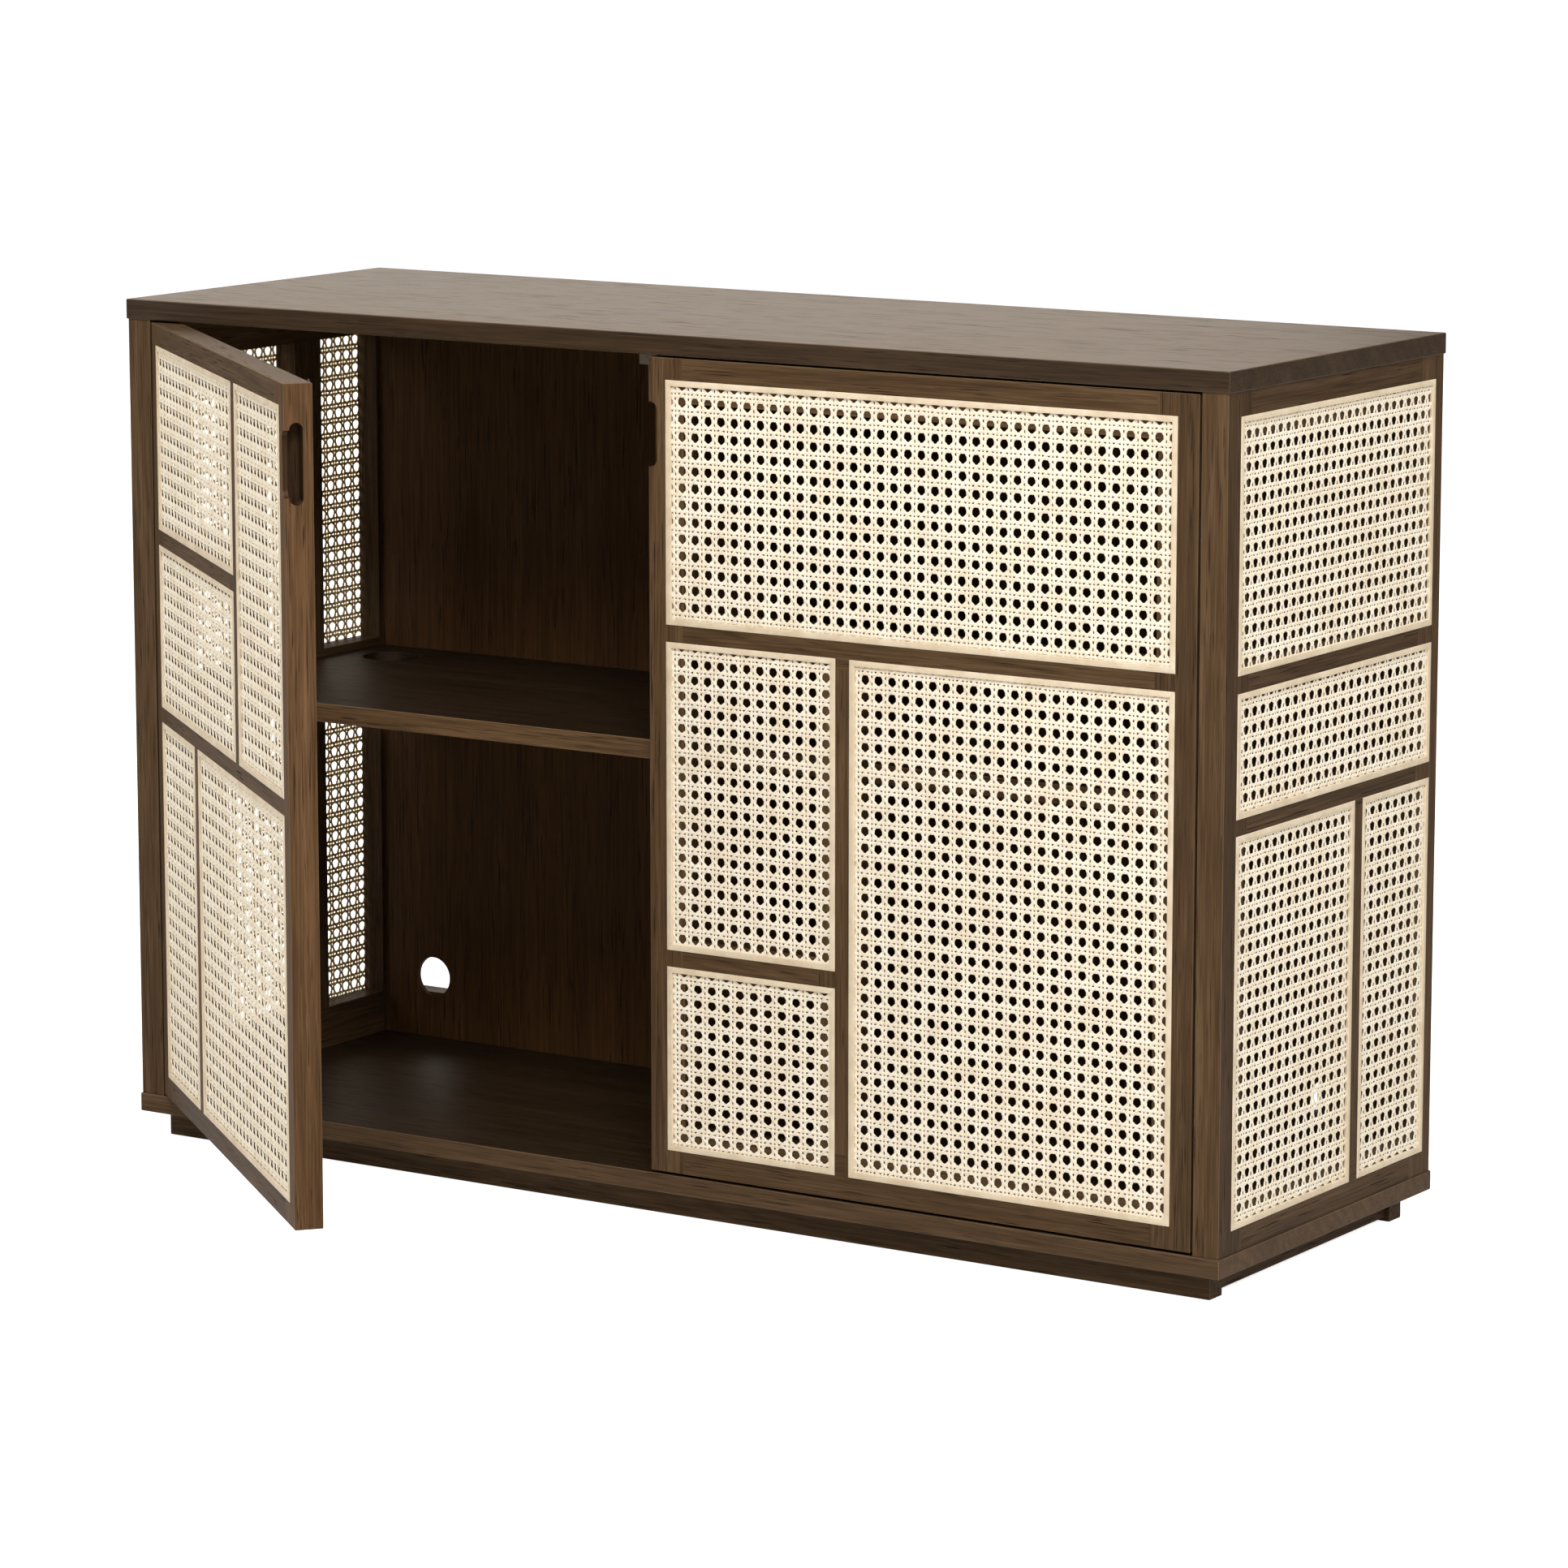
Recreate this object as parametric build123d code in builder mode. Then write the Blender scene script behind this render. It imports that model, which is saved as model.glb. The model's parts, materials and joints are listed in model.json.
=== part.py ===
from build123d import *
from math import cos, radians, sin
import os

# A two-door sideboard in stained oak with cane panels, in millimetres.
# X runs to the right, Y to the back and Z up.  The origin is on the floor, under the middle
# of the front plinth plank.  The left door stands ajar and the right door is shut.

# ---------------------------------------------------------------- case
WIDTH = 1200.0
DEPTH = 400.0
TOP_THICK = 19.0
BASE_THICK = 18.0
FRAME_HEIGHT = 755.0
BOARD_EASE = 1.2
FRAME_THICK = 26.0
FRAME_SETBACK = 1.5
MEMBER = 41.0
NARROW_STILE = 36.5
EASE = 0.7

PLINTH_HEIGHT = 25.0
PLINTH_THICK = 22.0
PLINTH_RECESS = 20.5
PLINTH_INSET = 20.0
PLINTH_SIDE_INSET = 5.0
PLINTH_SIDE_LIFT = 4.0

BASE_TOP = PLINTH_HEIGHT + BASE_THICK
TOP_UNDER = BASE_TOP + FRAME_HEIGHT
HEIGHT = TOP_UNDER + TOP_THICK
FRONT = -(PLINTH_RECESS + PLINTH_THICK / 2)
BACK = FRONT + DEPTH
FACE = FRONT + FRAME_SETBACK
SIDE_OUT = WIDTH / 2 - FRAME_SETBACK
SIDE_IN = SIDE_OUT - FRAME_THICK
SIDE_DEPTH = DEPTH - 2 * FRAME_SETBACK

# ---------------------------------------------------------------- inside
BACK_PANEL_Y = FRONT + 362.0
BACK_PANEL_THICK = 5.0
BACK_RAIL_HEIGHT = 45.0
BACK_RAIL_THICK = 22.0
PARTITION_THICK = 18.0
INNER_FRONT = FRONT + 29.0
SHELF_TOP = 441.0
SHELF_THICK = 18.0
SHELF_GAP = 0.8
SHELF_HOLE_R = 30.0
SHELF_HOLE_X = 515.0
SHELF_HOLE_Y = FRONT + 303.0
BACK_HOLE_R = 20.0
BACK_HOLE_X = 512.0
BACK_HOLE_Z = 105.0
PIN_R = 2.5
PIN_HOLE_R = 2.55
PIN_DEPTH = 8.0
PIN_REACH = 8.0
PIN_Z = SHELF_TOP - SHELF_THICK - PIN_R
PIN_YS = (FRONT + 80.0, FRONT + 310.0)

# ---------------------------------------------------------------- cane and spline
SPLINE_WIDTH = 5.5
SPLINE_PROUD = 0.5
MITRE_GAP = 0.12
GROOVE_DEPTH = 6.5
CANE_THICK = 1.8
CANE_SUNK = 0.7
REBATE_DEPTH = CANE_SUNK + CANE_THICK

# ---------------------------------------------------------------- doors
DOOR_WIDTH = 568.0
DOOR_THICK = 26.0
DOOR_GAP = 2.0
HINGE_GAP = 2.5
DOOR_LOW = BASE_TOP + DOOR_GAP
DOOR_HIGH = TOP_UNDER - DOOR_GAP
LEFT_DOOR_OPEN = 39.5

# ---------------------------------------------------------------- finger pulls
PULL_Z = 726.0
PULL_HEIGHT = 72.0
PULL_LIP = 5.0
PULL_WIDTH = 12.0
PULL_DEEP = 14.0
PULL_CORNER = 5.5
NOTCH_HEIGHT = 59.0
NOTCH_DEEP = 9.5
NOTCH_CORNER = 8.0

# ---------------------------------------------------------------- link hinges
HINGE_ZS = (158.5, 685.0)
PIVOT_AHEAD = 1.0
PIVOT_ASIDE = HINGE_GAP / 2
CUP_HEIGHT = 38.0
CUP_WIDTH = 15.0
CUP_DEEP = 15.0
CUP_MIDDLE = 10.5
LINK_R = 13.0
LINK_THICK = 3.2
LINK_REACH = LINK_THICK / 2 + 0.4
LINK_HALF_TURN = 62.0
SLOT_HALF_TURN = 65.0
SLOT_HEIGHT = 8.6
LEAVES = 3
LEAF_HEIGHT = 2.4
LEAF_PITCH = 2.75
SCREW_Z = 13.0
SCREW_R = 1.5
SCREW_HOLE_R = 1.55
SCREW_HEAD_R = 3.0
SCREW_HEAD_DEEP = 1.6
SCREW_HEAD_GAP = 0.05
SCREW_LENGTH = 21.0
DRIVE_WIDTH = 0.8
DRIVE_LENGTH = 3.6
DRIVE_DEEP = 0.9

# ---------------------------------------------------------------- magnetic catch
CATCH_LENGTH = 54.0
CATCH_HEIGHT = 13.0
CATCH_DEEP = 14.0
CATCH_FRONT = FRONT + 29.6
MAGNET_X = 20.5
MAGNET_R = 3.2
MAGNET_SOCKET_R = 3.25
MAGNET_LENGTH = 9.0
MAGNET_PROUD = 0.6
CATCH_EASE = 1.5
STRIKE_R = 6.0
STRIKE_THICK = 1.0


# ---------------------------------------------------------------- working planes
# Each frame is drawn on its outer face: x runs along the frame, y is the height above the
# floor, and z points out of the face.
RIGHT_DOOR_X = DOOR_GAP
right_door_plane = Plane(origin=(RIGHT_DOOR_X, FACE, 0), x_dir=(1, 0, 0), z_dir=(0, -1, 0))
right_side_plane = Plane(origin=(SIDE_OUT, FACE, 0), x_dir=(0, 1, 0), z_dir=(1, 0, 0))
left_side_plane = Plane(
    origin=(-SIDE_OUT, BACK - FRAME_SETBACK, 0), x_dir=(0, -1, 0), z_dir=(-1, 0, 0)
)

PIVOT_X = SIDE_IN - PIVOT_ASIDE
PIVOT_Y = FACE - PIVOT_AHEAD
left_angle = radians(LEFT_DOOR_OPEN)
left_along = Vector(cos(left_angle), -sin(left_angle), 0)
left_inward = Vector(sin(left_angle), cos(left_angle), 0)
left_pivot = Vector(-PIVOT_X, PIVOT_Y, 0)
left_door_plane = Plane(
    origin=left_pivot + left_along * PIVOT_ASIDE + left_inward * PIVOT_AHEAD,
    x_dir=left_along,
    z_dir=-left_inward,
)


# Each gap plane lies on an edge face, with z pointing out of the wood.  Its x runs along the
# thickness, and the second value says whether it points inward (1) or outward (-1).
right_post_gap = (Plane(origin=(SIDE_IN, FACE, 0), x_dir=(0, -1, 0), z_dir=(-1, 0, 0)), -1)
left_post_gap = (Plane(origin=(-SIDE_IN, FACE, 0), x_dir=(0, 1, 0), z_dir=(1, 0, 0)), 1)
right_door_gap = (
    Plane(origin=(RIGHT_DOOR_X + DOOR_WIDTH, FACE, 0), x_dir=(0, 1, 0), z_dir=(1, 0, 0)), 1
)
right_free_edge = (Plane(origin=(RIGHT_DOOR_X, FACE, 0), x_dir=(0, -1, 0), z_dir=(-1, 0, 0)), -1)
left_door_gap = (
    Plane(origin=left_door_plane.origin, x_dir=-left_inward, z_dir=-left_along), -1
)
left_free_edge = (
    Plane(
        origin=left_door_plane.origin + left_along * DOOR_WIDTH,
        x_dir=left_inward,
        z_dir=left_along,
    ),
    1,
)


# ---------------------------------------------------------------- layouts
# A frame's members and panels are rectangles (low x, low y, high x, high y) on its plane.
# A panel's rectangle is the outside of the spline that frames it.
door_rails = {"low": DOOR_LOW + MEMBER, "high": DOOR_HIGH - MEMBER}

right_door_members = {
    "right_door_free_stile": (0, DOOR_LOW, NARROW_STILE, DOOR_HIGH),
    "right_door_hinge_stile": (DOOR_WIDTH - MEMBER, DOOR_LOW, DOOR_WIDTH, DOOR_HIGH),
    "right_door_top_rail": (NARROW_STILE, door_rails["high"], DOOR_WIDTH - MEMBER, DOOR_HIGH),
    "right_door_cross_rail": (NARROW_STILE, 528.0, DOOR_WIDTH - MEMBER, 564.0),
    "right_door_mullion": (182.0, door_rails["low"], 223.0, 528.0),
    "right_door_short_rail": (NARROW_STILE, 228.0, 182.0, 264.0),
    "right_door_bottom_rail": (NARROW_STILE, DOOR_LOW, DOOR_WIDTH - MEMBER, door_rails["low"]),
}
right_door_panels = (
    (18.5, 553.7, 547.2, 776.0),
    (18.5, 253.8, 200.5, 538.0),
    (18.5, 66.0, 200.5, 238.2),
    (215.2, 66.0, 547.2, 538.0),
)

left_door_members = {
    "left_door_hinge_stile": (0, DOOR_LOW, MEMBER, DOOR_HIGH),
    "left_door_free_stile": (DOOR_WIDTH - NARROW_STILE, DOOR_LOW, DOOR_WIDTH, DOOR_HIGH),
    "left_door_top_rail": (MEMBER, door_rails["high"], DOOR_WIDTH - NARROW_STILE, DOOR_HIGH),
    "left_door_upper_mullion": (338.5, 439.5, 379.5, door_rails["high"]),
    "left_door_short_rail": (MEMBER, 575.0, 338.5, 611.0),
    "left_door_middle_rail": (MEMBER, 403.5, DOOR_WIDTH - NARROW_STILE, 439.5),
    "left_door_lower_mullion": (155.5, door_rails["low"], 196.5, 403.5),
    "left_door_bottom_rail": (MEMBER, DOOR_LOW, DOOR_WIDTH - NARROW_STILE, door_rails["low"]),
}
left_door_panels = (
    (20.0, 600.4, 351.5, 776.0),
    (20.0, 429.0, 351.5, 585.6),
    (366.2, 429.0, 549.5, 776.0),
    (20.0, 66.0, 168.5, 414.2),
    (183.2, 66.0, 549.5, 414.2),
)

side_low = BASE_TOP + MEMBER
side_high = TOP_UNDER - MEMBER
side_far = SIDE_DEPTH - MEMBER

right_side_members = {
    "right_front_post": (0, BASE_TOP, MEMBER, TOP_UNDER),
    "right_back_post": (side_far, BASE_TOP, SIDE_DEPTH, TOP_UNDER),
    "right_top_rail": (MEMBER, side_high, side_far, TOP_UNDER),
    "right_upper_rail": (MEMBER, 527.0, side_far, 563.0),
    "right_lower_rail": (MEMBER, 402.0, side_far, 438.0),
    "right_mullion": (226.5, side_low, 267.5, 402.0),
    "right_bottom_rail": (MEMBER, BASE_TOP, side_far, side_low),
}
right_side_panels = (
    (22.0, 552.8, 381.8, 776.5),
    (22.0, 427.4, 381.8, 537.2),
    (22.0, 64.0, 239.5, 412.8),
    (254.5, 64.0, 381.8, 412.8),
)

left_side_members = {
    "left_front_post": (side_far, BASE_TOP, SIDE_DEPTH, TOP_UNDER),
    "left_back_post": (0, BASE_TOP, MEMBER, TOP_UNDER),
    "left_top_rail": (MEMBER, side_high, side_far, TOP_UNDER),
    "left_upper_mullion": (132.0, 448.5, 173.0, side_high),
    "left_middle_rail": (MEMBER, 407.5, side_far, 448.5),
    "left_lower_mullion": (132.0, side_low, 173.0, 407.5),
    "left_bottom_rail": (MEMBER, BASE_TOP, side_far, side_low),
}
left_side_panels = (
    (15.5, 435.3, 145.0, 776.5),
    (160.0, 435.3, 375.0, 776.5),
    (15.5, 64.0, 145.0, 420.7),
    (160.0, 64.0, 375.0, 420.7),
)


# ---------------------------------------------------------------- helpers
def save(part, label):
    """Label a finished piece and write it under its own name."""
    part.label = label
    export_step(part, f"parts/{label}.step")


def middle(box):
    """The middle of a rectangle given by its low and high corners."""
    return ((box[0] + box[2]) / 2, (box[1] + box[3]) / 2)


def size(box):
    """The width and height of a rectangle given by its corners."""
    return (box[2] - box[0], box[3] - box[1])


def inset(box, by):
    """A rectangle moved inward on all four sides."""
    return (box[0] + by, box[1] + by, box[2] - by, box[3] - by)


def on_any(start, end, values):
    """True where both ends of an edge lie at one of the given coordinates."""
    return any(abs(start - value) < 0.01 and abs(end - value) < 0.01 for value in values)


def arris_edges(part, plane, xs, ys):
    """The edges on a frame's two faces that lie along the given x and y positions."""
    chosen = []
    for edge in part.edges():
        start = plane.to_local_coords(edge @ 0)
        end = plane.to_local_coords(edge @ 1)
        on_face = on_any(start.Z, end.Z, (0, -FRAME_THICK))
        if on_face and (on_any(start.X, end.X, xs) or on_any(start.Y, end.Y, ys)):
            chosen.append(edge)
    return chosen


def hinge_places(gap):
    """The middles of the two hinges on a gap plane."""
    sign = gap[1]
    return [(sign * CUP_MIDDLE, z) for z in HINGE_ZS]


def screw_places(gap):
    """The middles of the four hinge screws on a gap plane."""
    return [(x, z + dz) for x, z in hinge_places(gap) for dz in (-SCREW_Z, SCREW_Z)]


def make_member(label, plane, box, panels, xs, ys, pocket=None, pull=None, pins=None):
    """Make one post, stile, rail or mullion of a framed panel.

    xs and ys are the positions of the frame's outline, whose arrises are eased.  pocket is the
    gap plane that takes the hinge cups, pull is the free edge that takes a finger pull, and
    pins is the plane that takes shelf pins.
    """
    with BuildPart() as member:
        with BuildSketch(plane):
            with Locations(middle(box)):
                Rectangle(*size(box))
        extrude(amount=-FRAME_THICK)
        edges = arris_edges(member.part, plane, xs, ys)
        if edges:
            fillet(edges, EASE)
        for panel in panels:
            with BuildSketch(plane):
                with Locations(middle(panel)):
                    Rectangle(*size(panel))
                    Rectangle(*size(inset(panel, SPLINE_WIDTH)), mode=Mode.SUBTRACT)
            extrude(amount=-GROOVE_DEPTH, mode=Mode.SUBTRACT)
            with BuildSketch(plane):
                with Locations(middle(panel)):
                    Rectangle(*size(inset(panel, SPLINE_WIDTH)))
            extrude(amount=-REBATE_DEPTH, mode=Mode.SUBTRACT)
        if pocket:
            with BuildSketch(pocket[0]):
                with Locations(hinge_places(pocket)):
                    SlotOverall(CUP_HEIGHT, CUP_WIDTH, rotation=90)
            extrude(amount=-CUP_DEEP, mode=Mode.SUBTRACT)
            with BuildSketch(pocket[0]):
                with Locations(screw_places(pocket)):
                    Circle(SCREW_HOLE_R)
            extrude(amount=-SCREW_LENGTH, mode=Mode.SUBTRACT)
        if pull:
            edge_plane, sign = pull
            with BuildSketch(edge_plane):
                with Locations((sign * (PULL_LIP + PULL_WIDTH / 2), PULL_Z)):
                    RectangleRounded(PULL_WIDTH, PULL_HEIGHT, PULL_CORNER)
            extrude(amount=-PULL_DEEP, mode=Mode.SUBTRACT)
            edge_x = plane.to_local_coords(edge_plane.origin).X
            with BuildSketch(plane):
                with Locations((edge_x, PULL_Z)):
                    RectangleRounded(2 * NOTCH_DEEP, NOTCH_HEIGHT, NOTCH_CORNER)
            extrude(amount=-PULL_LIP, mode=Mode.SUBTRACT)
        if pins:
            with BuildSketch(pins):
                with Locations([(y, PIN_Z) for y in PIN_YS]):
                    Circle(PIN_HOLE_R)
            extrude(amount=PIN_DEPTH, mode=Mode.SUBTRACT)
    save(member.part, label)


def make_cane(label, plane, panels):
    """Make the cane of one frame: a thin sheet inside each spline."""
    with BuildPart() as cane:
        for panel in panels:
            with BuildSketch(plane.offset(-REBATE_DEPTH)):
                with Locations(middle(panel)):
                    Rectangle(*size(inset(panel, SPLINE_WIDTH)))
            extrude(amount=CANE_THICK)
    save(cane.part, label)


def spline_outlines(panel):
    """The four mitred strips around a panel, each a hair short of its neighbours."""
    low_x, low_y, high_x, high_y = panel
    width = SPLINE_WIDTH
    gap = MITRE_GAP
    return (
        (
            (low_x + gap, low_y),
            (high_x - gap, low_y),
            (high_x - width - gap, low_y + width),
            (low_x + width + gap, low_y + width),
        ),
        (
            (low_x + gap, high_y),
            (low_x + width + gap, high_y - width),
            (high_x - width - gap, high_y - width),
            (high_x - gap, high_y),
        ),
        (
            (low_x, low_y + gap),
            (low_x + width, low_y + width + gap),
            (low_x + width, high_y - width - gap),
            (low_x, high_y - gap),
        ),
        (
            (high_x, low_y + gap),
            (high_x, high_y - gap),
            (high_x - width, high_y - width - gap),
            (high_x - width, low_y + width + gap),
        ),
    )


def make_splines(label, plane, panels):
    """Make the mitred splines that hold one frame's cane in its grooves."""
    with BuildPart() as splines:
        for panel in panels:
            for outline in spline_outlines(panel):
                with BuildSketch(plane.offset(-GROOVE_DEPTH)):
                    Polygon(*outline, align=None)
                extrude(amount=GROOVE_DEPTH + SPLINE_PROUD)
    save(splines.part, label)


def make_board(label, low, high, ease=0.0, holes=(), hole_r=0.0):
    """Make a plain board between two corners, with eased arrises and round holes through it."""
    box = (low[0], low[1], high[0], high[1])
    with BuildPart() as board:
        with BuildSketch(Plane.XY.offset(low[2])):
            with Locations(middle(box)):
                Rectangle(*size(box))
            if holes:
                with Locations(holes):
                    Circle(hole_r, mode=Mode.SUBTRACT)
        extrude(amount=high[2] - low[2])
        if ease:
            fillet(board.edges().filter_by(GeomType.LINE), ease)
    save(board.part, label)


def make_cups(label, gaps, turns):
    """Make the hinge cups set into one or two gap faces.

    turns gives, for each gap, the pivot's place and the direction in degrees from which the
    link slot sweeps into the wood.
    """
    with BuildPart() as cups:
        for gap, (pivot, start, sweep) in zip(gaps, turns):
            with BuildSketch(gap[0]):
                with Locations(hinge_places(gap)):
                    SlotOverall(CUP_HEIGHT, CUP_WIDTH, rotation=90)
            extrude(amount=-CUP_DEEP)
            with BuildSketch(gap[0]):
                with Locations(screw_places(gap)):
                    Circle(SCREW_HOLE_R)
            extrude(amount=-SCREW_LENGTH, mode=Mode.SUBTRACT)
            with BuildSketch(gap[0]):
                with Locations(screw_places(gap)):
                    Circle(SCREW_HEAD_R)
            extrude(amount=-SCREW_HEAD_DEEP, mode=Mode.SUBTRACT)
            for z in HINGE_ZS:
                with BuildSketch(Plane(origin=(pivot.X, pivot.Y, z - SLOT_HEIGHT / 2))):
                    with BuildLine():
                        outer = CenterArc((0, 0), LINK_R + LINK_REACH, start, sweep)
                        inner = CenterArc((0, 0), LINK_R - LINK_REACH, start, sweep)
                        Line(outer @ 0, inner @ 0)
                        Line(outer @ 1, inner @ 1)
                    make_face()
                extrude(amount=SLOT_HEIGHT, mode=Mode.SUBTRACT)
    save(cups.part, label)


def make_links(label, pivot, start):
    """Make the curved leaves that slide in the slots of one door's hinge cups."""
    half = LINK_THICK / 2
    lowest = -(LEAVES - 1) / 2 * LEAF_PITCH - LEAF_HEIGHT / 2
    with BuildPart() as links:
        for z in HINGE_ZS:
            for leaf in range(LEAVES):
                height = z + lowest + leaf * LEAF_PITCH
                with BuildSketch(Plane(origin=(pivot.X, pivot.Y, height))):
                    with BuildLine():
                        outer = CenterArc((0, 0), LINK_R + half, start, 2 * LINK_HALF_TURN)
                        inner = CenterArc((0, 0), LINK_R - half, start, 2 * LINK_HALF_TURN)
                        Line(outer @ 0, inner @ 0)
                        Line(outer @ 1, inner @ 1)
                    make_face()
                extrude(amount=LEAF_HEIGHT)
    save(links.part, label)


def make_screws(label, gaps):
    """Make the slotted hinge screws, flush with the cups that they hold."""
    with BuildPart() as screws:
        for gap in gaps:
            with BuildSketch(gap[0]):
                with Locations(screw_places(gap)):
                    Circle(SCREW_R)
            extrude(amount=-SCREW_LENGTH)
            with BuildSketch(gap[0].offset(-SCREW_HEAD_DEEP)):
                with Locations(screw_places(gap)):
                    Circle(SCREW_HEAD_R - SCREW_HEAD_GAP)
            extrude(amount=SCREW_HEAD_DEEP)
            with BuildSketch(gap[0]):
                with Locations(screw_places(gap)):
                    Rectangle(DRIVE_WIDTH, DRIVE_LENGTH)
            extrude(amount=-DRIVE_DEEP, mode=Mode.SUBTRACT)
    save(screws.part, label)


def make_strike(label, plane, place):
    """Make the thin steel disc that a door's magnet takes hold of."""
    with BuildPart() as strike:
        with BuildSketch(plane.offset(-DOOR_THICK - STRIKE_THICK)):
            with Locations(place):
                Circle(STRIKE_R)
        extrude(amount=STRIKE_THICK)
    save(strike.part, label)


os.makedirs("parts", exist_ok=True)

# ---------------------------------------------------------------- boards
half_width = WIDTH / 2
make_board("top_board", (-half_width, FRONT, TOP_UNDER), (half_width, BACK, HEIGHT), BOARD_EASE)
make_board(
    "bottom_board", (-half_width, FRONT, PLINTH_HEIGHT), (half_width, BACK, BASE_TOP), BOARD_EASE
)

# ---------------------------------------------------------------- plinth
plinth_end = half_width - PLINTH_INSET
plinth_front = FRONT + PLINTH_RECESS
plinth_back = BACK - PLINTH_RECESS
side_plank_out = plinth_end - PLINTH_SIDE_INSET
side_plank_in = side_plank_out - PLINTH_THICK
make_board(
    "front_plinth",
    (-plinth_end, plinth_front, 0),
    (plinth_end, plinth_front + PLINTH_THICK, PLINTH_HEIGHT),
    EASE,
)
make_board(
    "back_plinth",
    (-plinth_end, plinth_back - PLINTH_THICK, 0),
    (plinth_end, plinth_back, PLINTH_HEIGHT),
    EASE,
)
for side, sign in (("left", -1), ("right", 1)):
    low_x, high_x = sorted((sign * side_plank_in, sign * side_plank_out))
    make_board(
        f"{side}_plinth",
        (low_x, plinth_front + PLINTH_THICK, PLINTH_SIDE_LIFT),
        (high_x, plinth_back - PLINTH_THICK, PLINTH_HEIGHT),
    )

# ---------------------------------------------------------------- back
with BuildPart() as back_panel:
    with BuildSketch(Plane.XZ.offset(-BACK_PANEL_Y)):
        with Locations((0, BASE_TOP + FRAME_HEIGHT / 2)):
            Rectangle(2 * SIDE_IN, FRAME_HEIGHT)
        with Locations((-BACK_HOLE_X, BACK_HOLE_Z), (BACK_HOLE_X, BACK_HOLE_Z)):
            Circle(BACK_HOLE_R, mode=Mode.SUBTRACT)
    extrude(amount=-BACK_PANEL_THICK)
save(back_panel.part, "back_panel")

back_rail_y = BACK_PANEL_Y + BACK_PANEL_THICK
make_board(
    "back_rail",
    (-SIDE_IN, back_rail_y, BASE_TOP),
    (SIDE_IN, back_rail_y + BACK_RAIL_THICK, BASE_TOP + BACK_RAIL_HEIGHT),
)

# ---------------------------------------------------------------- partition and shelves
half_partition = PARTITION_THICK / 2
with BuildPart() as partition:
    with BuildSketch(Plane.YZ.offset(-half_partition)):
        with BuildLine():
            Polyline(
                (INNER_FRONT, BASE_TOP),
                (BACK_PANEL_Y, BASE_TOP),
                (BACK_PANEL_Y, TOP_UNDER),
                (CATCH_FRONT + CATCH_DEEP, TOP_UNDER),
                (CATCH_FRONT + CATCH_DEEP, TOP_UNDER - CATCH_HEIGHT),
                (INNER_FRONT, TOP_UNDER - CATCH_HEIGHT),
                close=True,
            )
        make_face()
    extrude(amount=PARTITION_THICK)
    for side in (-half_partition, half_partition - PIN_DEPTH):
        with BuildSketch(Plane.YZ.offset(side)):
            with Locations([(y, PIN_Z) for y in PIN_YS]):
                Circle(PIN_HOLE_R)
        extrude(amount=PIN_DEPTH, mode=Mode.SUBTRACT)
save(partition.part, "centre_partition")

for side, sign in (("left", -1), ("right", 1)):
    low_x, high_x = sorted((sign * (half_partition + SHELF_GAP), sign * (SIDE_IN - SHELF_GAP)))
    make_board(
        f"{side}_shelf",
        (low_x, INNER_FRONT, SHELF_TOP - SHELF_THICK),
        (high_x, BACK_PANEL_Y - SHELF_GAP, SHELF_TOP),
        EASE,
        holes=[(sign * SHELF_HOLE_X, SHELF_HOLE_Y)],
        hole_r=SHELF_HOLE_R,
    )

with BuildPart() as shelf_pins:
    for wall, sign in (
        (-SIDE_IN, 1),
        (-half_partition, -1),
        (half_partition, 1),
        (SIDE_IN, -1),
    ):
        start = wall - sign * PIN_DEPTH
        with BuildSketch(Plane.YZ.offset(start)):
            with Locations([(y, PIN_Z) for y in PIN_YS]):
                Circle(PIN_R)
        extrude(amount=sign * (PIN_DEPTH + PIN_REACH))
save(shelf_pins.part, "shelf_pins")

# ---------------------------------------------------------------- side frames
side_ends = (0, SIDE_DEPTH)
for label, box in right_side_members.items():
    make_member(
        label,
        right_side_plane,
        box,
        right_side_panels,
        side_ends,
        (),
        pocket=right_post_gap if label == "right_front_post" else None,
        pins=Plane.YZ.offset(SIDE_IN) if label == "right_lower_rail" else None,
    )
make_cane("right_side_cane", right_side_plane, right_side_panels)
make_splines("right_side_splines", right_side_plane, right_side_panels)

for label, box in left_side_members.items():
    make_member(
        label,
        left_side_plane,
        box,
        left_side_panels,
        side_ends,
        (),
        pocket=left_post_gap if label == "left_front_post" else None,
        pins=Plane.YZ.offset(-SIDE_IN - PIN_DEPTH) if label == "left_middle_rail" else None,
    )
make_cane("left_side_cane", left_side_plane, left_side_panels)
make_splines("left_side_splines", left_side_plane, left_side_panels)

# ---------------------------------------------------------------- doors
door_xs = (0, DOOR_WIDTH)
door_ys = (DOOR_LOW, DOOR_HIGH)
for label, box in right_door_members.items():
    make_member(
        label,
        right_door_plane,
        box,
        right_door_panels,
        door_xs,
        door_ys,
        pocket=right_door_gap if label == "right_door_hinge_stile" else None,
        pull=right_free_edge if label == "right_door_free_stile" else None,
    )
make_cane("right_door_cane", right_door_plane, right_door_panels)
make_splines("right_door_splines", right_door_plane, right_door_panels)

for label, box in left_door_members.items():
    make_member(
        label,
        left_door_plane,
        box,
        left_door_panels,
        door_xs,
        door_ys,
        pocket=left_door_gap if label == "left_door_hinge_stile" else None,
        pull=left_free_edge if label == "left_door_free_stile" else None,
    )
make_cane("left_door_cane", left_door_plane, left_door_panels)
make_splines("left_door_splines", left_door_plane, left_door_panels)

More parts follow.
